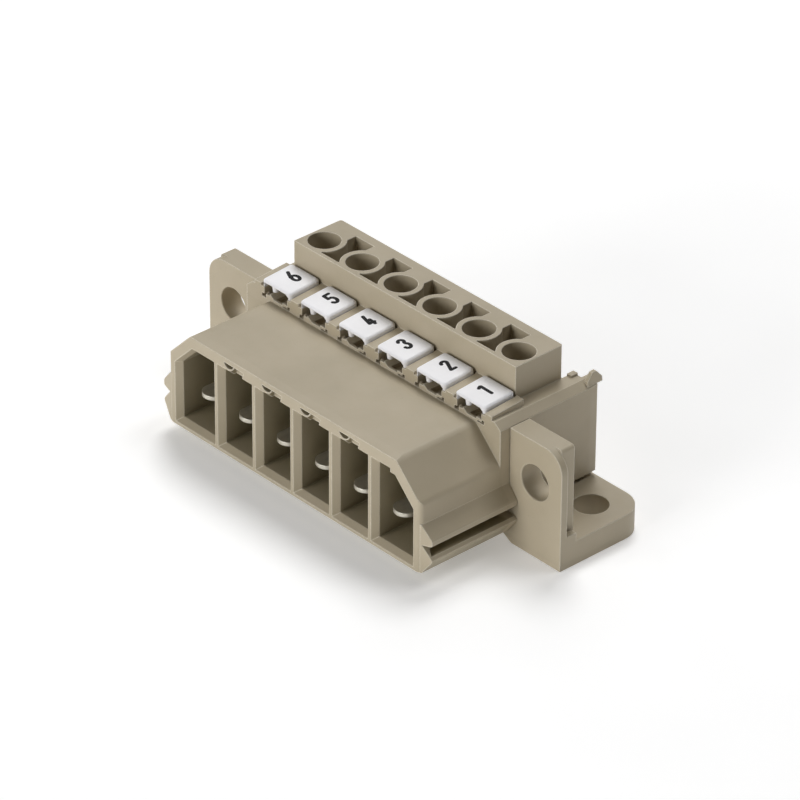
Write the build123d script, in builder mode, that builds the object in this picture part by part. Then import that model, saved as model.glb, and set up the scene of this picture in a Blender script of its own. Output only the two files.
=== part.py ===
from build123d import *
import os
from math import sin, cos, radians

# Six pole pluggable terminal block: a moulded housing with a pin shroud in front,
# a screw tower behind it, a clip-on mounting bracket at each end, and in each pole
# a contact blade, a clamp cage, a clamp screw and a marker tag.
# X runs along the row of poles (pole 6 at -X, pole 1 at +X), the shroud opens
# towards -Y, the wires enter from +Y, +Z is up. Z = 0 is the mounting surface.

os.makedirs("parts", exist_ok=True)

# the row of poles
pitch = 5.0
poles = 6
pole_x = {n: pitch * ((poles + 1) / 2 - n) for n in range(1, poles + 1)}
end_pole = pitch * (poles - 1) / 2
gap_x = [pitch * (i - poles / 2) for i in range(1, poles)]

# datum: front face of the flanges, placed so that the row's origin is centred
face_y = -0.375

# fits, and how far a cutting shape reaches past the face it opens
slip = 0.05
slide_play = 0.06
over = 0.5

# housing: widths from the middle of the row, all following the end margin
end_margin = 3.9
band_width = 1.1
tower_inset = 2.15
hook_inset = 0.15
half_width = end_pole + end_margin
ledge_half = half_width - band_width
tower_half = half_width - tower_inset
hook_half = half_width - hook_inset

# housing: lengths measured from the flange face
shroud_length = 10.2
ledge_front = 1.1
base_wall_front = 2.6
body_length = 10.3
tower_start = 2.6
tower_depth = 5.5
screw_line = 4.6
shroud_front = face_y - shroud_length
split_y = face_y - ledge_front
base_front = face_y - base_wall_front
rear_y = face_y + body_length
tower_front = face_y + tower_start
tower_rear = tower_front + tower_depth
screw_y = face_y + screw_line

# shroud
body_bottom = 1.15
shroud_top = 11.15
corner_cut = 3.1
corner_soft = 0.9
front_round = 0.5
wall = 0.85
mouth_floor = 1.45
mouth_top = 9.97
mouth_cut_low = 2.4
mouth_cut_high = 2.72
ridge = 0.33
lead_width = 0.48
lead_depth = 0.6
floor_lead = 0.42
top_lead = 0.6
corner_step = 0.4
corner_flat = 0.6
lip_band = 1.0
lip_step = 0.1
partition = ridge + 2 * lead_width
code_x = -0.745
code_radius = 0.745
code_rise = 0.18
code_hole = 0.69
code_hole_rise = 0.26
code_back = 0.1
code_depth = 1.6
notch_height = 0.6
notch_right = 1.04
notch_slant = 0.2
notch_depth = 0.9

# guide ribs on the sides of the shroud, with a groove between upper and lower rib
rib_out = 1.1
rib_length = 10.06
rib_slant = 0.23
rib_top = 6.0
rib_tip = 4.75
rib_valley = 4.0
rib_low_tip = 2.65
rib_soft = 0.1
groove_high = 4.15
groove_low = 3.05
groove_deep = 0.68
groove_ramp = 0.8
groove_back = 2.0
rib_front = face_y - rib_length

# terminal body behind the shroud
ledge_front_z = 12.45
ledge_rear_z = 12.7
plate_top = 11.5
band_flat = 0.3
back_top = 9.4
back_rise = 0.4
deck_z = 12.1
tower_top = 15.4
tower_soft = 0.25
tower_edge = 0.22
access_radius = 1.5
ring_wall = 0.5
pocket_start = 3.0
pocket_depth = 4.15
pocket_half_front = 1.15
pocket_half_rear = 1.2
pocket_floor = 11.35
shelf_length = 1.3
stud_width = 0.55
stud_length = 0.75
stud_height = 0.22
hook_width = 0.4
hook_start = 9.2
hook_shoulder = 9.75
hook_flat = 0.48
hook_top = 12.84
hook_reach = 0.65
hook_tip_z = 11.6
rear_cut_length = 0.85
rear_cut_width = 0.08
pocket_front = face_y + pocket_start
pocket_rear = pocket_front + pocket_depth
shelf_y = tower_rear + shelf_length
hook_front = face_y + hook_start
hook_knee_y = face_y + hook_shoulder
hook_tip_y = rear_y + hook_reach

# marker seats on the ledge
marker_width = 3.75
marker_tilt = 4.0
marker_thick = 0.72
marker_round = 0.4
marker_edge = 0.16
marker_play = 0.1
seat_drop = 0.26
window_floor = 10.9
window_depth = 2.3
window_half = 1.52
wall_top = 11.4
rail_top = 11.6
rail_depth = 0.3
rail_from = 1.3
rail_to = 0.56
stop_from = 0.87
stop_to = 1.5
nose_from = 0.8
nose_to = 0.25
nose_top = 11.8
nose_fall = 0.4
notch_half = 1.84
notch_low = 11.2
notch_high = 11.55
notch_deep = 0.5
relief_left = 1.54
relief_right = 1.33
relief_slant = 0.27
relief_depth = 1.0
relief_height = 0.5
peg_x = -0.55
peg_line = 0.5
peg_radius = 0.36
peg_length = 0.7
seat_width = marker_width + 2 * marker_play
marker_depth = tower_front - split_y - slip - marker_play
window_back = split_y + window_depth
seat_z = ledge_front_z - seat_drop

# clamp chamber, cage, blade and screw
blade_z = 5.0
blade_thick = 0.4
blade_width = 2.2
blade_reach = 9.35
blade_nose = 0.95
cage_width = 3.8
cage_depth = 3.8
cage_wall = 0.6
cage_floor = 0.7
cage_roof = 1.4
cage_corner = 0.35
wire_space = 2.2
bar_gap = 0.1
travel = 1.9
screw_radius = 1.25
thread_play = 0.05
head_radius = 1.7
head_height = 1.6
head_gap = 0.3
slot_width = 0.6
slot_depth = 0.9
tip_gap = 0.05
screw_point = 0.3
head_edge = 0.15
entry_flare = 0.5
blade_tip = face_y - blade_reach

# mounting brackets, all widths measured from the side of the housing
bracket_width = 6.38
bracket_height = 11.48
layer_front = 0.72
upright_depth = 2.2
layer_inset = 0.8
corner_front = 2.0
corner_back = 0.35
foot_thick = 2.4
foot_length = 10.3
foot_corner = 2.6
hole_share = 0.487
flange_hole_z = 7.45
flange_hole_radius = 1.68
flange_hole_edge = 0.1
foot_hole_line = 6.7
foot_hole_radius = 1.6
lip_reach = 0.8
lip_top = 1.08
lip_cut_x = 1.17
lip_cut_z = 0.65
notch_top = 2.84
tongue_line = 1.3
tongue_reach = 0.5
tongue_neck = 0.45
tongue_head = 0.75
tongue_low = 3.2
tongue_high = 9.6
lug_height = 0.8
lug_end = 1.85
lug_width = 0.6
bracket_inner = half_width + slip
bracket_outer = bracket_inner + bracket_width
hole_x = bracket_inner + bracket_width * hole_share
lip_inner = half_width - lip_reach
foot_rear = face_y + foot_length
foot_hole_y = face_y + foot_hole_line
tongue_y = face_y + tongue_line

# derived heights and the clamp chamber round the cage
bar_top = blade_z + blade_thick / 2
bar_low = blade_z - blade_thick / 2
cage_inside_low = bar_low - wire_space
cage_low = cage_inside_low - cage_floor
cage_inside_high = bar_top + bar_gap
cage_high = cage_inside_high + cage_roof
head_low = cage_high + travel + head_gap
head_top = head_low + head_height
chamber_top = head_top + head_gap / 2
chamber_front = screw_y - cage_depth / 2 - slide_play
chamber_rear = screw_y + cage_depth / 2 + slide_play
chamber_half = cage_width / 2 + slide_play
ring_radius = access_radius + ring_wall
entry_width = cage_width - 2 * cage_wall


def seat_plane(x):
    # plane of a marker seat: local x along the row, local y up the slope to the rear
    lean = radians(marker_tilt)
    return Plane(
        origin=(x, split_y, seat_z),
        x_dir=(1, 0, 0),
        z_dir=(0, -sin(lean), cos(lean)),
    )


def mouth_outline(low_x, high_x, inset_x, inset_top, inset_low):
    # opening of one chamber: the end chambers lose their outer upper corner,
    # and the first one keeps a small web in that corner
    left = low_x + inset_x
    right = high_x - inset_x
    low = mouth_floor + inset_low
    high = mouth_top - inset_top
    if low_x < -end_pole:
        cut = mouth_cut_low - inset_top
        pts = [(left, low), (right, low), (right, high), (left + cut, high), (left, high - cut)]
    elif high_x > end_pole:
        cut = mouth_cut_high - inset_top
        web_x = right - cut + corner_step
        web_z = high - corner_step
        pts = [(left, low), (right, low), (right, high - cut), (web_x, web_z)]
        pts += [(web_x - corner_flat, web_z), (web_x - corner_flat, high), (left, high)]
    else:
        pts = [(left, low), (right, low), (right, high), (left, high)]
    return pts


def chamber_span(n):
    # outer edges of the lead-in of chamber n, from partition to partition or end wall
    low_x = pole_x[n] - pitch / 2 + ridge / 2
    high_x = pole_x[n] + pitch / 2 - ridge / 2
    if n == poles:
        low_x = -(half_width - wall)
    if n == 1:
        high_x = half_width - wall
    return low_x, high_x


# housing
with BuildPart() as housing:
    # terminal body: side profile drawn once and run along the row
    with BuildSketch(Plane.YZ):
        with BuildLine():
            Polyline(
                (split_y, body_bottom),
                (rear_y, body_bottom),
                (rear_y, back_top),
                (tower_rear, back_top + back_rise),
                (tower_rear, deck_z),
                (tower_front, deck_z),
                (tower_front, ledge_rear_z),
                (split_y, ledge_front_z),
                close=True,
            )
        make_face()
    extrude(amount=ledge_half, both=True)

    # end plates with a sloping band along their top edge
    for side in (1, -1):
        with BuildSketch(Plane.XZ.offset(-split_y)):
            with BuildLine():
                Polyline(
                    (side * (ledge_half - slip), body_bottom),
                    (side * half_width, body_bottom),
                    (side * half_width, plate_top),
                    (side * (ledge_half + band_flat), deck_z),
                    (side * (ledge_half - slip), deck_z),
                    close=True,
                )
            make_face()
        extrude(amount=-(rear_y - split_y))
        # shelf behind the tower's end, with a small stud on it
        with BuildSketch(Plane.XY.offset(back_top)):
            with Locations((side * (tower_half + ledge_half) / 2, (tower_rear + shelf_y - over) / 2)):
                Rectangle(ledge_half - tower_half, shelf_length + over)
        extrude(amount=deck_z - back_top)
        with BuildSketch(Plane.XY.offset(back_top)):
            with Locations((side * (tower_half + stud_width / 2), shelf_y - stud_length / 2)):
                Rectangle(stud_width, stud_length)
        extrude(amount=deck_z + stud_height - back_top)

    # screw tower
    with BuildSketch(Plane.XY.offset(deck_z - over)):
        with Locations((0, (tower_front + tower_rear) / 2)):
            tower_sketch = Rectangle(2 * tower_half, tower_rear - tower_front)
        fillet(tower_sketch.vertices().sort_by(Axis.Y)[-2:], tower_soft)
        fillet(tower_sketch.vertices().sort_by(Axis.Y)[:2], tower_edge)
    extrude(amount=tower_top - deck_z + over)

    # overhanging hook at the upper rear corner of each end plate
    for side in (1, -1):
        with BuildSketch(Plane.YZ.offset(side * hook_half)):
            with BuildLine():
                Polyline(
                    (hook_front, deck_z - over),
                    (rear_y, deck_z - 2 * over),
                    (rear_y, hook_tip_z),
                    (hook_tip_y, hook_tip_z),
                    (hook_tip_y - slip, hook_tip_z + over),
                    (hook_knee_y + hook_flat, hook_top),
                    (hook_knee_y, hook_top),
                    (hook_front, deck_z),
                    close=True,
                )
            make_face()
        extrude(amount=-side * hook_width)

    # shroud in front, with soft edges along the sloping corners
    with BuildSketch(Plane.XZ.offset(-split_y)) as shroud_outline:
        with BuildLine():
            Polyline(
                (-half_width, body_bottom),
                (half_width, body_bottom),
                (half_width, shroud_top - corner_cut),
                (half_width - corner_cut, shroud_top),
                (-(half_width - corner_cut), shroud_top),
                (-half_width, shroud_top - corner_cut),
                close=True,
            )
        make_face()
        fillet(shroud_outline.vertices().sort_by(Axis.Y)[2:], corner_soft)
    extrude(amount=split_y - shroud_front)

    # the upright front edges of the shroud are rounded
    with BuildSketch(Plane.XY.offset(body_bottom - over)):
        for side in (1, -1):
            with Locations((side * (half_width - front_round / 2), shroud_front + front_round / 2)):
                Rectangle(front_round, front_round)
            with Locations((side * (half_width - front_round), shroud_front + front_round)):
                Circle(front_round, mode=Mode.SUBTRACT)
    extrude(amount=shroud_top - body_bottom + 2 * over, mode=Mode.SUBTRACT)

    # guide ribs: an upper and a lower wedge on each side, up to the brackets
    for side in (1, -1):
        tip_x = half_width + rib_out
        with BuildSketch(Plane.XZ.offset(-rib_front)):
            with BuildLine():
                Polyline(
                    (side * (half_width - over), rib_top),
                    (side * half_width, rib_top),
                    (side * (tip_x - rib_soft), rib_tip + rib_soft),
                    (side * tip_x, rib_tip - rib_soft),
                    (side * tip_x, groove_high + rib_soft),
                    (side * (tip_x - rib_soft), groove_high),
                    (side * (half_width + slip), rib_valley),
                    (side * (tip_x - 3 * rib_soft), groove_low + rib_soft),
                    (side * tip_x, rib_low_tip + rib_soft),
                    (side * (tip_x - rib_soft / 2), rib_low_tip - rib_soft),
                    (side * half_width, body_bottom),
                    (side * (half_width - over), body_bottom),
                    close=True,
                )
            make_face()
        extrude(amount=rib_front - face_y + slip)
        # their front ends slant back
        with BuildSketch(Plane.XY.offset(body_bottom)):
            with BuildLine():
                Polyline(
                    (side * half_width, rib_front - slip),
                    (side * half_width, rib_front),
                    (side * tip_x, rib_front + rib_slant),
                    (side * (tip_x + over), rib_front + rib_slant),
                    (side * (tip_x + over), rib_front - slip),
                    close=True,
                )
            make_face()
        extrude(amount=rib_top - body_bottom, mode=Mode.SUBTRACT)
        # deep groove between the wedges, starting with a ramp
        with BuildSketch(Plane.XY.offset(groove_low)):
            with BuildLine():
                Polyline(
                    (side * (tip_x + over), rib_front),
                    (side * half_width, rib_front + groove_ramp),
                    (side * (half_width - groove_deep), rib_front + groove_back),
                    (side * (half_width - groove_deep), face_y),
                    (side * (tip_x + over), face_y),
                    close=True,
                )
            make_face()
        extrude(amount=groove_high - groove_low, mode=Mode.SUBTRACT)

    # the top face falls a little towards its front lip
    with BuildSketch(Plane.YZ):
        with BuildLine():
            Polyline(
                (shroud_front + lip_band, shroud_top),
                (shroud_front - lip_band, shroud_top - 2 * lip_step),
                (shroud_front - lip_band, shroud_top + over),
                (shroud_front + lip_band, shroud_top + over),
                close=True,
            )
        make_face()
    extrude(amount=half_width, both=True, mode=Mode.SUBTRACT)

    # chambers with a lead-in round each mouth
    for n in range(1, poles + 1):
        low_x, high_x = chamber_span(n)
        with BuildSketch(Plane.XZ.offset(-shroud_front)):
            with BuildLine():
                Polyline(*mouth_outline(low_x, high_x, 0, 0, 0), close=True)
            make_face()
        with BuildSketch(Plane.XZ.offset(-(shroud_front + lead_depth))):
            with BuildLine():
                Polyline(*mouth_outline(low_x, high_x, lead_width, top_lead, floor_lead), close=True)
            make_face()
        loft(ruled=True, mode=Mode.SUBTRACT, clean=False)
        with BuildSketch(Plane.XZ.offset(-(shroud_front + lead_depth))):
            with BuildLine():
                Polyline(*mouth_outline(low_x, high_x, lead_width, top_lead, floor_lead), close=True)
            make_face()
        extrude(amount=-(base_front - shroud_front - lead_depth), mode=Mode.SUBTRACT, clean=False)

    # coding sockets: half-moon holes in the upper lip, with a recess to their right
    code_z = mouth_top + notch_height
    inner_poles = [pole_x[n] for n in range(2, poles)]
    code_at = [(x + code_x, code_z + code_rise) for x in inner_poles]
    code_hole_at = [(x + code_x, code_z + code_hole_rise) for x in inner_poles]
    code_over = [(x + code_x, code_z + 2 * code_radius) for x in inner_poles]
    with BuildSketch(Plane.XZ.offset(-shroud_front)):
        for x in inner_poles:
            with BuildLine():
                Polyline(
                    (x + code_x, mouth_top - top_lead),
                    (x + notch_right - notch_slant / 2, mouth_top - top_lead),
                    (x + notch_right, mouth_top),
                    (x + notch_right + notch_slant, code_z),
                    (x + code_x, code_z),
                    close=True,
                )
            make_face()
    extrude(amount=-notch_depth, mode=Mode.SUBTRACT, clean=False)
    with BuildSketch(Plane.XZ.offset(-shroud_front)):
        with Locations(*code_at):
            Circle(code_radius)
        with Locations(*code_over):
            Rectangle(4 * code_radius, 4 * code_radius, mode=Mode.SUBTRACT)
    extrude(amount=-code_depth)
    with BuildSketch(Plane.XZ.offset(-shroud_front)):
        with Locations(*code_hole_at):
            Circle(code_hole)
        with Locations(*code_over):
            Rectangle(4 * code_radius, 4 * code_radius, mode=Mode.SUBTRACT)
    extrude(amount=-(code_depth - code_back), mode=Mode.SUBTRACT, clean=False)

    # screwdriver holes and the hourglass pockets between their ring walls
    with BuildSketch(Plane.XY.offset(tower_top)):
        with Locations(*[(pole_x[n], screw_y) for n in pole_x]):
            Circle(access_radius)
    extrude(amount=-(tower_top - chamber_top + slip), mode=Mode.SUBTRACT, clean=False)
    with BuildSketch(Plane.XY.offset(tower_top)):
        for x in gap_x:
            with BuildLine():
                Polyline(
                    (x - pocket_half_front, pocket_front),
                    (x + pocket_half_front, pocket_front),
                    (x + pocket_half_front, screw_y),
                    (x + pocket_half_rear, screw_y),
                    (x + pocket_half_rear, pocket_rear),
                    (x - pocket_half_rear, pocket_rear),
                    (x - pocket_half_rear, screw_y),
                    (x - pocket_half_front, screw_y),
                    close=True,
                )
            make_face()
        with Locations(*[(pole_x[n], screw_y) for n in pole_x]):
            Circle(ring_radius, mode=Mode.SUBTRACT)
    extrude(amount=-(tower_top - pocket_floor), mode=Mode.SUBTRACT, clean=False)

    # marker seats, with an open window in front of each
    with BuildSketch(seat_plane(0)):
        with Locations(*[(x, (tower_front - split_y - over) / 2) for x in pole_x.values()]):
            Rectangle(seat_width, tower_front - split_y + over)
    extrude(amount=2 * over, mode=Mode.SUBTRACT, clean=False)
    with BuildSketch(Plane.XY.offset(window_floor)):
        with Locations(*[(x, split_y + window_depth / 2) for x in pole_x.values()]):
            Rectangle(2 * window_half, window_depth)
    extrude(amount=ledge_rear_z - window_floor, mode=Mode.SUBTRACT, clean=False)
    # low front wall of each window, with a notch at each end
    with BuildSketch(Plane.XY.offset(window_floor - slip)):
        with Locations(*[(x, split_y + rail_depth / 2) for x in pole_x.values()]):
            Rectangle(2 * window_half, rail_depth)
    extrude(amount=wall_top - window_floor + slip, clean=False)
    with BuildSketch(Plane.XY.offset(notch_low)):
        for x in pole_x.values():
            for start, end in ((-notch_half, -rail_from), (stop_to - over, notch_half)):
                with Locations((x + (start + end) / 2, split_y + notch_deep / 2)):
                    Rectangle(end - start, notch_deep)
    extrude(amount=notch_high - notch_low, mode=Mode.SUBTRACT, clean=False)
    # two stops on that wall and a latch nose behind it
    with BuildSketch(Plane.XY.offset(wall_top - slip)):
        for x in pole_x.values():
            for start, end in ((-rail_from, -rail_to), (stop_from, stop_to + slip)):
                with Locations((x + (start + end) / 2, split_y + rail_depth / 2)):
                    Rectangle(end - start, rail_depth)
    extrude(amount=rail_top - wall_top + slip, clean=False)
    with BuildSketch(Plane.XZ.offset(-split_y)):
        for x in pole_x.values():
            with BuildLine():
                Polyline(
                    (x - nose_from, window_floor - slip),
                    (x - nose_to, window_floor - slip),
                    (x - nose_to, nose_top - nose_fall),
                    (x - nose_from, nose_top),
                    close=True,
                )
            make_face()
    extrude(amount=-(window_depth + slip), clean=False)

    # clamp chambers, open below, where the cage and its screw go in
    with BuildSketch(Plane.XY.offset(body_bottom)):
        with Locations(*[(x, screw_y) for x in pole_x.values()]):
            Rectangle(2 * chamber_half, chamber_rear - chamber_front)
    extrude(amount=chamber_top - body_bottom, mode=Mode.SUBTRACT, clean=False)
    # slots for the contact blades through the base wall
    with BuildSketch(Plane.XZ.offset(-base_front)):
        with Locations(*[(x, blade_z) for x in pole_x.values()]):
            Rectangle(blade_width + 2 * slip, blade_thick + 2 * slip)
    extrude(amount=-(chamber_front - base_front + slip), mode=Mode.SUBTRACT, clean=False)
    # wire funnels from the rear face, ending as wide and high as the open cage
    for x in pole_x.values():
        with BuildSketch(Plane.XZ.offset(-rear_y)):
            with Locations((x, (cage_inside_low + bar_low) / 2)):
                Rectangle(entry_width + 2 * entry_flare, wire_space + 2 * entry_flare)
        with BuildSketch(Plane.XZ.offset(-(chamber_rear - slip / 2))):
            with Locations((x, (cage_inside_low + bar_low) / 2)):
                Rectangle(entry_width, wire_space)
        loft(ruled=True, mode=Mode.SUBTRACT, clean=False)

    # ends: room for the bracket foot and the undercut slot for its tongue
    for side in (1, -1):
        under_half = half_width - lip_inner + slip
        with BuildSketch(Plane.XY.offset(body_bottom)):
            with Locations((side * half_width, (face_y - slip + rear_y + over) / 2)):
                Rectangle(2 * under_half, rear_y + over - face_y + slip)
        extrude(amount=notch_top - body_bottom, mode=Mode.SUBTRACT, clean=False)
        with BuildSketch(Plane.XY.offset(tongue_low - slip)):
            with BuildLine():
                Polyline(
                    (side * (half_width + slip), tongue_y - tongue_neck - slip),
                    (side * (half_width + slip), tongue_y + tongue_neck + slip),
                    (side * (half_width - tongue_reach - slip), tongue_y + tongue_head + slip),
                    (side * (half_width - tongue_reach - slip), tongue_y - tongue_head - slip),
                    close=True,
                )
            make_face()
        extrude(amount=tongue_high - tongue_low + 2 * slip, mode=Mode.SUBTRACT, clean=False)
        # the upright rear edge is bevelled
        with BuildSketch(Plane.XY.offset(body_bottom)):
            with BuildLine():
                Polyline(
                    (side * half_width, rear_y - rear_cut_length),
                    (side * (half_width + over), rear_y - rear_cut_length),
                    (side * (half_width + over), rear_y + over),
                    (side * (half_width - rear_cut_width), rear_y + over),
                    (side * (half_width - rear_cut_width), rear_y),
                    close=True,
                )
            make_face()
        extrude(amount=deck_z - body_bottom, mode=Mode.SUBTRACT, clean=False)
housing.part.label = "housing"
export_step(housing.part, "parts/housing.step")

# mounting brackets
for side, name in ((1, "mounting_bracket_right"), (-1, "mounting_bracket_left")):
    with BuildPart() as bracket:
        # front layer of the upright, with the lip that reaches under the housing
        with BuildSketch(Plane.XZ.offset(-face_y)) as face_outline:
            with BuildLine():
                Polyline(
                    (side * (lip_inner + lip_cut_x), 0),
                    (side * bracket_outer, 0),
                    (side * bracket_outer, bracket_height),
                    (side * bracket_inner, bracket_height),
                    (side * bracket_inner, lip_top),
                    (side * lip_inner, lip_top),
                    (side * lip_inner, lip_cut_z),
                    close=True,
                )
            make_face()
            top_corners = face_outline.vertices().sort_by(Axis.Y)[-2:]
            fillet(top_corners.sort_by(Axis.X)[-1 if side > 0 else 0], corner_front)
        extrude(amount=-layer_front)
        # back layer, a little narrower
        with BuildSketch(Plane.XZ.offset(-(face_y + layer_front))) as back_outline:
            with BuildLine():
                Polyline(
                    (side * bracket_inner, foot_thick - over),
                    (side * (bracket_outer - layer_inset), foot_thick - over),
                    (side * (bracket_outer - layer_inset), bracket_height),
                    (side * bracket_inner, bracket_height),
                    close=True,
                )
            make_face()
            top_corners = back_outline.vertices().sort_by(Axis.Y)[-2:]
            fillet(top_corners.sort_by(Axis.X)[-1 if side > 0 else 0], corner_back)
        extrude(amount=-(upright_depth - layer_front))
        # foot, with the same lower inner cut
        with BuildSketch(Plane.XZ.offset(-face_y)):
            with BuildLine():
                Polyline(
                    (side * (lip_inner + lip_cut_x), 0),
                    (side * bracket_outer, 0),
                    (side * bracket_outer, foot_thick),
                    (side * lip_inner, foot_thick),
                    (side * lip_inner, lip_cut_z),
                    close=True,
                )
            make_face()
        extrude(amount=-(foot_rear - face_y))
        rear_edges = bracket.edges().filter_by(Axis.Z).group_by(Axis.Y)[-1]
        fillet(rear_edges.sort_by(Axis.X)[-1 if side > 0 else 0], foot_corner)
        # in front of the housing notch the foot stays as low as the lip
        with BuildSketch(Plane.XY.offset(lip_top)):
            with Locations((side * lip_inner, face_y)):
                Rectangle(2 * (bracket_inner - lip_inner), 2 * slip)
        extrude(amount=foot_thick, mode=Mode.SUBTRACT)
        # small lug on the foot beside the upright
        with BuildSketch(Plane.XY.offset(foot_thick - over)):
            with Locations((side * (bracket_outer - lug_width / 2), face_y + (layer_front + lug_end) / 2)):
                Rectangle(lug_width, lug_end - layer_front)
        extrude(amount=lug_height + over)
        # fixing holes
        with BuildSketch(Plane.XZ.offset(-face_y)):
            with Locations((side * hole_x, flange_hole_z)):
                Circle(flange_hole_radius)
        extrude(amount=-upright_depth, mode=Mode.SUBTRACT)
        round_edges = bracket.edges().filter_by(GeomType.CIRCLE).group_by(Axis.Y)[0]
        hole_edges = [e for e in round_edges if abs(e.radius - flange_hole_radius) < slip]
        fillet(hole_edges, flange_hole_edge)
        with BuildSketch(Plane.XY):
            with Locations((side * hole_x, foot_hole_y)):
                Circle(foot_hole_radius)
        extrude(amount=foot_thick, mode=Mode.SUBTRACT)
        # undercut tongue that holds the bracket on the end plate
        with BuildSketch(Plane.XY.offset(tongue_low)):
            with BuildLine():
                Polyline(
                    (side * (bracket_inner + slip), tongue_y - tongue_neck),
                    (side * (bracket_inner + slip), tongue_y + tongue_neck),
                    (side * (half_width - tongue_reach), tongue_y + tongue_head),
                    (side * (half_width - tongue_reach), tongue_y - tongue_head),
                    close=True,
                )
            make_face()
        extrude(amount=tongue_high - tongue_low)
    bracket.part.label = name
    export_step(bracket.part, f"parts/{name}.step")

# pieces of each pole
for n in pole_x:
    x = pole_x[n]

    # contact blade: rounded tip in the shroud, clamp bar at the rear end
    with BuildPart() as blade:
        with BuildSketch(Plane.XY.offset(bar_low)):
            with BuildLine():
                tip = ThreePointArc(
                    (x - blade_width / 2, blade_tip + blade_nose),
                    (x, blade_tip),
                    (x + blade_width / 2, blade_tip + blade_nose),
                )
                Polyline(
                    (x + blade_width / 2, blade_tip + blade_nose),
                    (x + blade_width / 2, chamber_rear - slide_play),
                    (x - blade_width / 2, chamber_rear - slide_play),
                    (x - blade_width / 2, blade_tip + blade_nose),
                )
            make_face()
        extrude(amount=blade_thick)
    blade.part.label = f"contact_blade_{n}"
    export_step(blade.part, f"parts/contact_blade_{n}.step")

    # clamp cage: a ring round the blade, threaded through its roof
    with BuildPart() as cage:
        with BuildSketch(Plane.XZ.offset(-(screw_y - cage_depth / 2))) as ring:
            with Locations((x, (cage_low + cage_high) / 2)):
                Rectangle(cage_width, cage_high - cage_low)
            fillet(ring.vertices(), cage_corner)
            with Locations((x, (cage_inside_low + cage_inside_high) / 2)):
                Rectangle(cage_width - 2 * cage_wall, cage_inside_high - cage_inside_low, mode=Mode.SUBTRACT)
        extrude(amount=-cage_depth)
        with BuildSketch(Plane.XY.offset(cage_inside_high)):
            with Locations((x, screw_y)):
                Circle(screw_radius + thread_play)
        extrude(amount=cage_roof, mode=Mode.SUBTRACT)
    cage.part.label = f"clamp_cage_{n}"
    export_step(cage.part, f"parts/clamp_cage_{n}.step")

    # clamp screw: slotted head under the access hole, tip on the blade
    with BuildPart() as screw:
        with BuildSketch(Plane.XY.offset(bar_top + tip_gap)):
            with Locations((x, screw_y)):
                Circle(screw_radius)
        extrude(amount=head_low - bar_top - tip_gap)
        chamfer(screw.edges().group_by(Axis.Z)[0], screw_point)
        with BuildSketch(Plane.XY.offset(head_low)):
            with Locations((x, screw_y)):
                Circle(head_radius)
        extrude(amount=head_height)
        chamfer(screw.edges().group_by(Axis.Z)[-1], head_edge)
        with BuildSketch(Plane.XY.offset(head_top)):
            with Locations((x, screw_y)):
                Rectangle(4 * head_radius, slot_width)
        extrude(amount=-slot_depth, mode=Mode.SUBTRACT)
    screw.part.label = f"clamp_screw_{n}"
    export_step(screw.part, f"parts/clamp_screw_{n}.step")

    # marker tag: rounded plate, cut away below in front, with a peg in the window
    with BuildPart() as marker:
        with BuildSketch(seat_plane(x)) as tag:
            with Locations((0, slip + marker_depth / 2)):
                Rectangle(marker_width, marker_depth)
            fillet(tag.vertices(), marker_round)
        extrude(amount=marker_thick)
        chamfer(marker.faces().sort_by(Axis.Z)[-1].edges(), marker_edge)
        with BuildSketch(Plane.XZ.offset(-(split_y - over))):
            with BuildLine():
                Polyline(
                    (x - relief_left, seat_z - over),
                    (x + relief_right + relief_slant, seat_z - over),
                    (x + relief_right + relief_slant, seat_z + relief_height - relief_slant),
                    (x + relief_right, seat_z + relief_height),
                    (x - relief_left, seat_z + relief_height),
                    close=True,
                )
            make_face()
        extrude(amount=-(relief_depth + over), mode=Mode.SUBTRACT)
        with BuildSketch(Plane.XY.offset(seat_z + relief_height + slip)):
            with Locations((x + peg_x, split_y + peg_line)):
                Circle(peg_radius)
        extrude(amount=-(peg_length + slip), taper=8)
    marker.part.label = f"marker_{n}"
    export_step(marker.part, f"parts/marker_{n}.step")
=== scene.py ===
import math

import bpy
from mathutils import Matrix, Vector


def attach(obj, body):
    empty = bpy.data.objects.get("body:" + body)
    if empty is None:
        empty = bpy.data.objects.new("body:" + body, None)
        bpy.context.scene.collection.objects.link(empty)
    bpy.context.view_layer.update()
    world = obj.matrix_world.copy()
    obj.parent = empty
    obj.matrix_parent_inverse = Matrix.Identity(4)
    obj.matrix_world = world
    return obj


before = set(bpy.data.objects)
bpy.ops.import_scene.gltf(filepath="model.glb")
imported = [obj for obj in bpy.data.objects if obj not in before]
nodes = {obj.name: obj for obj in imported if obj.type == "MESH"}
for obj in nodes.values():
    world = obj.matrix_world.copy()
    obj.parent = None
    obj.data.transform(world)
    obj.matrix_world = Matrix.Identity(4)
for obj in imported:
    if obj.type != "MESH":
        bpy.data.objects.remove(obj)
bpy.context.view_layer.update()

# lengths are in mm and become metres with MM, except where a comment says metres
MM = 0.001
WHITE = (1.0, 1.0, 1.0, 1.0)

# noise scales, in waves per metre
HOUSING_CLOUDS = 260.0
BRACKET_CLOUDS = 190.0
FLOW_MARKS = 120.0
SPECKS = 3800.0
PLASTIC_SHEEN = 900.0
PLASTIC_GRAIN = 5200.0
METAL_STREAKS = 1800.0
METAL_SHEEN = 2600.0
INK_GRAIN = 3000.0
FLOOR_CLOUDS = 40.0

# depth of the relief that the bump nodes draw
GRAIN_DEPTH = 0.02
STREAK_DEPTH = 0.01
STREAK_BUMP = 0.05

# how much of the flow marks and the specks shows
FLOW_SHARE = 0.5
SPECK_SHARE = 0.35

PLASTIC_IOR = 1.46
PLASTIC_SPECULAR = 0.42
INK_SPECULAR = 0.15

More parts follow.
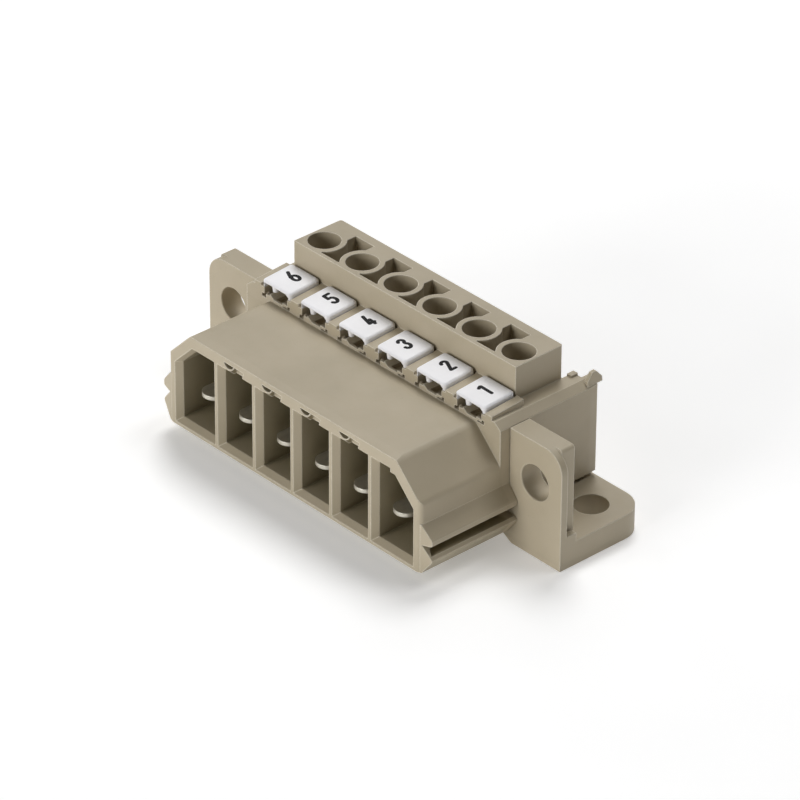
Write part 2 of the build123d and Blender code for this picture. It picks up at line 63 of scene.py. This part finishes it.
# the painted edge highlight: dot product of true and softened normal, from full edge to flat face
TURNED = (0.86, 0.998)
HIGHLIGHT_REACH = 0.5
HIGHLIGHT_OPENNESS = (0.35, 0.85)

# painted shade in the shroud's chambers, darker in hollows, which ends above and behind the
# shroud
SHADE_REACH = 8.0
SHADE_OPENNESS = (0.05, 0.58)
SHROUD_TOP = (10.2, 10.6)
SHROUD_REAR = (-1.6, -1.2)

NODE_SAMPLES = 6

# colour sockets of a Mix node
MIX_FACTOR, MIX_A, MIX_B, MIX_RESULT = 0, 6, 7, 2


def rgba(r, g, b):
    return (r, g, b, 1.0)


class Mat:
    """A node material, with short calls for the nodes that it is made of."""

    def __init__(self, name):
        self.mat = bpy.data.materials.new(name)
        self.mat.use_nodes = True
        self.tree = self.mat.node_tree
        self.nodes = self.tree.nodes
        self.shader = self.nodes["Principled BSDF"]
        self.coords = self.nodes.new("ShaderNodeTexCoord").outputs["Object"]

    def link(self, source, target):
        self.tree.links.new(source, target)

    def feed(self, value, socket):
        """Sets the socket to a number or colour, or links it to a node's output."""
        if isinstance(value, (float, tuple)):
            socket.default_value = value
        else:
            self.link(value, socket)

    def noise(self, scale, detail=4.0, roughness=0.5, stretch=None, distortion=0.0):
        node = self.nodes.new("ShaderNodeTexNoise")
        node.inputs["Scale"].default_value = scale
        node.inputs["Detail"].default_value = detail
        node.inputs["Roughness"].default_value = roughness
        node.inputs["Distortion"].default_value = distortion
        place = self.coords
        if stretch:
            mapping = self.nodes.new("ShaderNodeMapping")
            mapping.inputs["Scale"].default_value = stretch
            self.link(place, mapping.inputs["Vector"])
            place = mapping.outputs["Vector"]
        self.link(place, node.inputs["Vector"])
        return node.outputs["Fac"]

    def ramp(self, factor, stops):
        node = self.nodes.new("ShaderNodeValToRGB")
        elements = node.color_ramp.elements
        while len(elements) > 1:
            elements.remove(elements[-1])
        elements[0].position, elements[0].color = stops[0]
        for position, colour in stops[1:]:
            elements.new(position).color = colour
        self.link(factor, node.inputs["Fac"])
        return node.outputs["Color"]

    def mix(self, factor, a, b, blend="MIX"):
        node = self.nodes.new("ShaderNodeMix")
        node.data_type = "RGBA"
        node.blend_type = blend
        self.feed(factor, node.inputs[MIX_FACTOR])
        self.feed(a, node.inputs[MIX_A])
        self.feed(b, node.inputs[MIX_B])
        return node.outputs[MIX_RESULT]

    def span(self, value, low, high, start=0.3, end=0.7):
        """Maps start to end onto low to high."""
        node = self.nodes.new("ShaderNodeMapRange")
        node.inputs["From Min"].default_value = start
        node.inputs["From Max"].default_value = end
        node.inputs["To Min"].default_value = low
        node.inputs["To Max"].default_value = high
        self.link(value, node.inputs["Value"])
        return node.outputs["Result"]

    def bump(self, height, strength, depth, normal):
        node = self.nodes.new("ShaderNodeBump")
        node.inputs["Strength"].default_value = strength
        node.inputs["Distance"].default_value = depth * MM
        self.link(height, node.inputs["Height"])
        self.link(normal, node.inputs["Normal"])
        return node.outputs["Normal"]

    def soft_edges(self, radius):
        """The normal with edges rounded by a radius."""
        node = self.nodes.new("ShaderNodeBevel")
        node.samples = NODE_SAMPLES
        node.inputs["Radius"].default_value = radius * MM
        return node.outputs["Normal"]

    def math(self, kind, a, b):
        node = self.nodes.new("ShaderNodeMath")
        node.operation = kind
        self.feed(a, node.inputs[0])
        self.feed(b, node.inputs[1])
        return node.outputs[0]

    def openness(self, reach, start, end):
        """Zero in a hollow, one in the open, judged within a reach."""
        node = self.nodes.new("ShaderNodeAmbientOcclusion")
        node.samples = NODE_SAMPLES
        node.inputs["Distance"].default_value = reach * MM
        return self.span(node.outputs["AO"], 0.0, 1.0, start, end)

    def painted_highlight_mask(self, normal):
        """Painted highlight mask: near one where the softened normal leaves the true one, in open
        places only.
        """
        true = self.nodes.new("ShaderNodeNewGeometry").outputs["True Normal"]
        dot = self.nodes.new("ShaderNodeVectorMath")
        dot.operation = "DOT_PRODUCT"
        self.link(true, dot.inputs[0])
        self.link(normal, dot.inputs[1])
        turned = self.span(dot.outputs["Value"], 1.0, 0.0, *TURNED)
        return self.math("MULTIPLY", turned, self.openness(HIGHLIGHT_REACH, *HIGHLIGHT_OPENNESS))

    def painted_chamber_shade(self, shade_tint):
        """Painted shade in the shroud's chambers: a darker tint in hollows, white everywhere
        else.
        """
        place = self.nodes.new("ShaderNodeSeparateXYZ")
        self.link(self.coords, place.inputs[0])
        bounds = []
        for axis, limits in (("Z", SHROUD_TOP), ("Y", SHROUD_REAR)):
            start, end = limits
            bounds.append(self.span(place.outputs[axis], 0.0, 1.0, start * MM, end * MM))
        outside = self.math("MAXIMUM", *bounds)
        opened = self.openness(SHADE_REACH, *SHADE_OPENNESS)
        return self.ramp(self.math("MAXIMUM", opened, outside), [(0.0, shade_tint), (1.0, WHITE)])


# colours in linear light
BEIGE = rgba(0.455, 0.392, 0.282)
# painted highlight along the open edges
BEIGE_PAINTED_HIGHLIGHT = rgba(0.80, 0.74, 0.61)
# tint of the painted shade in the shroud's chambers
BEIGE_PAINTED_SHADE = rgba(0.58, 0.575, 0.47)
FLOW_TINTS = [(0.35, rgba(0.94, 0.94, 0.93)), (0.6, rgba(1.02, 1.02, 1.02))]
SPECK_TINTS = [(0.26, rgba(0.86, 0.85, 0.83)), (0.33, WHITE)]


def plastic(
    name,
    base,
    light,
    dark,
    edge_highlight,
    shade_tint,
    rough=(0.40, 0.52),
    grain=0.16,
    edge=0.17,
    clouds=HOUSING_CLOUDS,
):
    """Moulded plastic: faint clouds, flow marks and specks, fine grain, soft edges with a painted
    highlight, and painted shade in the shroud's chambers.
    """
    m = Mat(name)
    colour = m.ramp(m.noise(clouds, 3.0), [(0.3, dark), (0.5, base), (0.72, light)])
    flow = m.noise(FLOW_MARKS, 2.0, 0.45, stretch=(1.0, 0.28, 1.0), distortion=0.6)
    colour = m.mix(FLOW_SHARE, colour, m.ramp(flow, FLOW_TINTS), "MULTIPLY")
    specks = m.ramp(m.noise(SPECKS, 2.0), SPECK_TINTS)
    colour = m.mix(SPECK_SHARE, colour, specks, "MULTIPLY")
    # painted shade: darker where the shroud's chambers are hollow
    colour = m.mix(1.0, colour, m.painted_chamber_shade(shade_tint), "MULTIPLY")
    soft = m.soft_edges(edge)
    # painted highlight along the open edges, pale where the softened normal turns away
    colour = m.mix(m.painted_highlight_mask(soft), colour, edge_highlight)
    m.link(colour, m.shader.inputs["Base Color"])
    m.link(m.span(m.noise(PLASTIC_SHEEN, 4.0), *rough), m.shader.inputs["Roughness"])
    normal = m.bump(m.noise(PLASTIC_GRAIN, 5.0, 0.6), grain, GRAIN_DEPTH, soft)
    m.link(normal, m.shader.inputs["Normal"])
    m.shader.inputs["IOR"].default_value = PLASTIC_IOR
    m.shader.inputs["Specular IOR Level"].default_value = PLASTIC_SPECULAR
    return m.mat


def metal(name, base, light, rough, stretch=(1.0, 1.0, 1.0), edge=0.05, metallic=1.0):
    """Plated metal: drawn streaks in colour, roughness and relief."""
    m = Mat(name)
    streaks = m.noise(METAL_STREAKS, 5.0, 0.6, stretch=stretch)
    m.link(m.ramp(streaks, [(0.3, base), (0.7, light)]), m.shader.inputs["Base Color"])
    m.shader.inputs["Metallic"].default_value = metallic
    sheen = m.noise(METAL_SHEEN, 3.0, stretch=stretch)
    m.link(m.span(sheen, *rough), m.shader.inputs["Roughness"])
    normal = m.bump(streaks, STREAK_BUMP, STREAK_DEPTH, m.soft_edges(edge))
    m.link(normal, m.shader.inputs["Normal"])
    return m.mat


def marker_ink(name):
    """Matt black print."""
    m = Mat(name)
    grain = m.noise(INK_GRAIN, 3.0)
    tones = [(0.3, rgba(0.006, 0.006, 0.007)), (0.7, rgba(0.016, 0.016, 0.018))]
    m.link(m.ramp(grain, tones), m.shader.inputs["Base Color"])
    m.link(m.span(grain, 0.45, 0.6), m.shader.inputs["Roughness"])
    m.shader.inputs["Specular IOR Level"].default_value = INK_SPECULAR
    return m.mat


beige = plastic(
    "beige_plastic",
    base=BEIGE,
    light=rgba(0.47, 0.405, 0.295),
    dark=rgba(0.435, 0.374, 0.268),
    edge_highlight=BEIGE_PAINTED_HIGHLIGHT,
    shade_tint=BEIGE_PAINTED_SHADE,
)
beige_bracket = plastic(
    "beige_bracket",
    base=BEIGE,
    light=rgba(0.472, 0.408, 0.298),
    dark=rgba(0.44, 0.378, 0.272),
    edge_highlight=BEIGE_PAINTED_HIGHLIGHT,
    shade_tint=BEIGE_PAINTED_SHADE,
    clouds=BRACKET_CLOUDS,
)
white = plastic(
    "marker_white",
    base=rgba(0.92, 0.915, 0.935),
    light=rgba(0.95, 0.945, 0.965),
    dark=rgba(0.89, 0.885, 0.905),
    # painted highlight along the tags' edges
    edge_highlight=rgba(0.97, 0.965, 0.98),
    # tint of the painted shade in hollows
    shade_tint=rgba(0.85, 0.84, 0.84),
    rough=(0.3, 0.42),
    grain=0.08,
    edge=0.2,
)
tin = metal(
    "tinned_blade",
    base=rgba(0.56, 0.53, 0.45),
    light=rgba(0.66, 0.63, 0.54),
    rough=(0.38, 0.48),
    stretch=(1.0, 0.15, 1.0),
    edge=0.13,
    metallic=0.78,
)
steel = metal(
    "zinc_plated_cage",
    base=rgba(0.62, 0.64, 0.66),
    light=rgba(0.72, 0.74, 0.77),
    rough=(0.28, 0.36),
    stretch=(1.0, 1.0, 0.2),
)
screw_steel = metal(
    "plated_screw",
    base=rgba(0.68, 0.68, 0.67),
    light=rgba(0.76, 0.76, 0.75),
    rough=(0.26, 0.34),
)
ink = marker_ink("marker_print")

# the start of a CAD node's name, and the material of that node
DRESS = {
    "housing": beige,
    "mounting_bracket": beige_bracket,
    "marker": white,
    "contact_blade": tin,
    "clamp_cage": steel,
    "clamp_screw": screw_steel,
}
for name, obj in nodes.items():
    for start, mat in DRESS.items():
        if name.startswith(start):
            obj.data.materials.clear()
            obj.data.materials.append(mat)


def arc(cx, cy, rx, ry, start, end, steps=8):
    """Points on an ellipse from one angle to another, in degrees."""
    points = []
    for i in range(steps + 1):
        angle = math.radians(start + (end - start) * i / steps)
        points.append((cx + rx * math.cos(angle), cy + ry * math.sin(angle)))
    return points


# the numbers as lines through points, from the middle of each tag, as they are read
STROKES = {
    1: [[(-0.13, 0.62), (0.12, 0.77), (0.19, 0.74), (0.17, -0.66)]],
    2: [arc(0.38, 0.56, 0.28, 0.27, 175, -25) + [(0.14, -0.60), (0.66, -0.63)]],
    3: [arc(0.02, 0.66, 0.27, 0.29, 165, -60) + arc(0.01, -0.14, 0.3, 0.40, 60, -165)],
    4: [[(0.34, 0.95), (0.03, -0.30), (0.58, -0.30)], [(0.46, 0.20), (0.42, -0.58)]],
    5: [[(0.66, 0.83), (0.12, 0.83), (0.10, 0.20)] + arc(0.30, -0.24, 0.32, 0.46, 105, -150)],
    6: [[(0.46, 0.97), (0.08, 0.18)] + arc(0.335, -0.22, 0.30, 0.45, 150, 510, 16)],
}
HALF_STROKE = 0.168
CAP_STEPS = 10

# each run of a number lies a little higher than the one before, so none share a plane
FIRST_LIFT = 0.004
LIFT_STEP = 0.0003

# the tags: they lean with their seats, and the numbers read from the +X side
PITCH = 5.0
ROW_MIDDLE = 3.5
FLANGE_FACE_Y = -0.375
SEAT_BEFORE_FACE = -1.1
SEAT_Z = 12.19
TAG_MIDDLE = 1.85
TAG_TOP = 0.72
LEAN = math.radians(4.0)
RIGHT = Vector((0, math.cos(LEAN), math.sin(LEAN)))
UP = Vector((-1, 0, 0))
OUT = RIGHT.cross(UP)


def stroke_mesh(name, lines):
    """Flat strokes with round ends and corners along the lines of a number."""
    verts, faces = [], []
    lift = FIRST_LIFT
    for line in lines:
        for (ax, ay), (bx, by) in zip(line, line[1:]):
            way = math.degrees(math.atan2(by - ay, bx - ax))
            ring = arc(bx, by, HALF_STROKE, HALF_STROKE, way - 90, way + 90, CAP_STEPS)
            ring += arc(ax, ay, HALF_STROKE, HALF_STROKE, way + 90, way + 270, CAP_STEPS)
            faces.append(range(len(verts), len(verts) + len(ring)))
            verts.extend((x * MM, y * MM, lift * MM) for x, y in ring)
            lift += LIFT_STEP
    mesh = bpy.data.meshes.new(name)
    mesh.from_pydata(verts, [], faces)
    return mesh


def add_object(name, data):
    obj = bpy.data.objects.new(name, data)
    bpy.context.scene.collection.objects.link(obj)
    return obj


for n, lines in STROKES.items():
    obj = add_object(f"number_{n}", stroke_mesh(f"number_{n}", lines))
    seat_x = PITCH * (ROW_MIDDLE - n)
    seat_y = FLANGE_FACE_Y + SEAT_BEFORE_FACE
    seat = Vector((seat_x * MM, seat_y * MM, SEAT_Z * MM))
    place = seat + RIGHT * TAG_MIDDLE * MM + OUT * TAG_TOP * MM
    obj.matrix_world = Matrix(
        (
            (RIGHT.x, UP.x, OUT.x, place.x),
            (RIGHT.y, UP.y, OUT.y, place.y),
            (RIGHT.z, UP.z, OUT.z, place.z),
            (0, 0, 0, 1),
        )
    )
    obj.data.materials.append(ink)
    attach(obj, "block")

# the floor, in metres: it glows a little, so that it is as pale as the photo's ground
FLOOR_HALF = 6.0
FLOOR_Z = -0.00002
FLOOR_GLOW = 0.25
FLOOR_TONES = [(0.3, rgba(0.93, 0.93, 0.93)), (0.7, rgba(0.96, 0.96, 0.96))]

floor_mesh = bpy.data.meshes.new("floor")
s = FLOOR_HALF
floor_mesh.from_pydata([(-s, -s, 0), (s, -s, 0), (s, s, 0), (-s, s, 0)], [], [(0, 1, 2, 3)])
floor = add_object("floor", floor_mesh)
floor.location = (0, 0, FLOOR_Z)
pale = Mat("pale_floor")
pale.link(pale.ramp(pale.noise(FLOOR_CLOUDS, 2.0), FLOOR_TONES), pale.shader.inputs["Base Color"])
pale.shader.inputs["Roughness"].default_value = 0.9
pale.shader.inputs["Emission Color"].default_value = WHITE
pale.shader.inputs["Emission Strength"].default_value = FLOOR_GLOW
floor.data.materials.append(pale.mat)

# the world is seen as white and gives next to no light of its own
WORLD_LIGHT = 0.01

world = bpy.data.worlds.new("studio")
bpy.context.scene.world = world
world.use_nodes = True
sky = world.node_tree
shown = sky.nodes.new("ShaderNodeBackground")
lit = sky.nodes["Background"]
lit.inputs["Strength"].default_value = WORLD_LIGHT
for background in (shown, lit):
    background.inputs["Color"].default_value = WHITE
either = sky.nodes.new("ShaderNodeMixShader")
seen = sky.nodes.new("ShaderNodeLightPath").outputs["Is Camera Ray"]
sky.links.new(seen, either.inputs[0])
sky.links.new(lit.outputs[0], either.inputs[1])
sky.links.new(shown.outputs[0], either.inputs[2])
sky.links.new(either.outputs[0], sky.nodes["World Output"].inputs["Surface"])

# soft round lamps: azimuth and elevation in degrees, power in watts
LAMPS = {
    "back_left": (-140, 62, 11.24),
    "front_low": (0, 14, 11.13),
    "back_right": (140, 62, 5.34),
    "left_low": (-100, 14, 2.88),
    "front": (-20, 38, 2.44),
    "left_high": (-130, 38, 2.24),
    "front_left_low": (-30, 14, 1.70),
}
# their distance from the part and their diameter, in metres
LAMP_REACH = 1.6
LAMP_SIZE = 0.70

for name, (azimuth, elevation, power) in LAMPS.items():
    light = bpy.data.lights.new(name, "AREA")
    light.shape = "DISK"
    light.size = LAMP_SIZE
    light.energy = power
    lamp = add_object(name, light)
    a, e = math.radians(azimuth), math.radians(elevation)
    way = Vector((math.sin(a) * math.cos(e), -math.cos(a) * math.cos(e), math.sin(e)))
    lamp.location = way * LAMP_REACH
    lamp.rotation_euler = way.to_track_quat("Z", "Y").to_euler()

# the camera that was fitted to the photo: lens and sensor in mm, the rest in metres
SENSOR_WIDTH = 36.0
FOCAL_LENGTH = 251.015
CLIP = (0.01, 10.0)
CAMERA_PLACE = (
    (0.66955133, -0.39441368, 0.62939564, 0.30568494),
    (0.74275485, 0.35093074, -0.57023053, -0.27501603),
    (0.00403244, 0.84928527, 0.52791881, 0.26204461),
    (0, 0, 0, 1),
)

camera_data = bpy.data.cameras.new("photo_camera")
camera_data.sensor_width = SENSOR_WIDTH
camera_data.lens = FOCAL_LENGTH
camera_data.clip_start, camera_data.clip_end = CLIP
camera_data.dof.use_dof = False
camera = add_object("photo_camera", camera_data)
camera.matrix_world = Matrix(CAMERA_PLACE)
bpy.context.scene.camera = camera

# the photo's plain white ground needs a plain view transform
bpy.context.scene.view_settings.view_transform = "Standard"
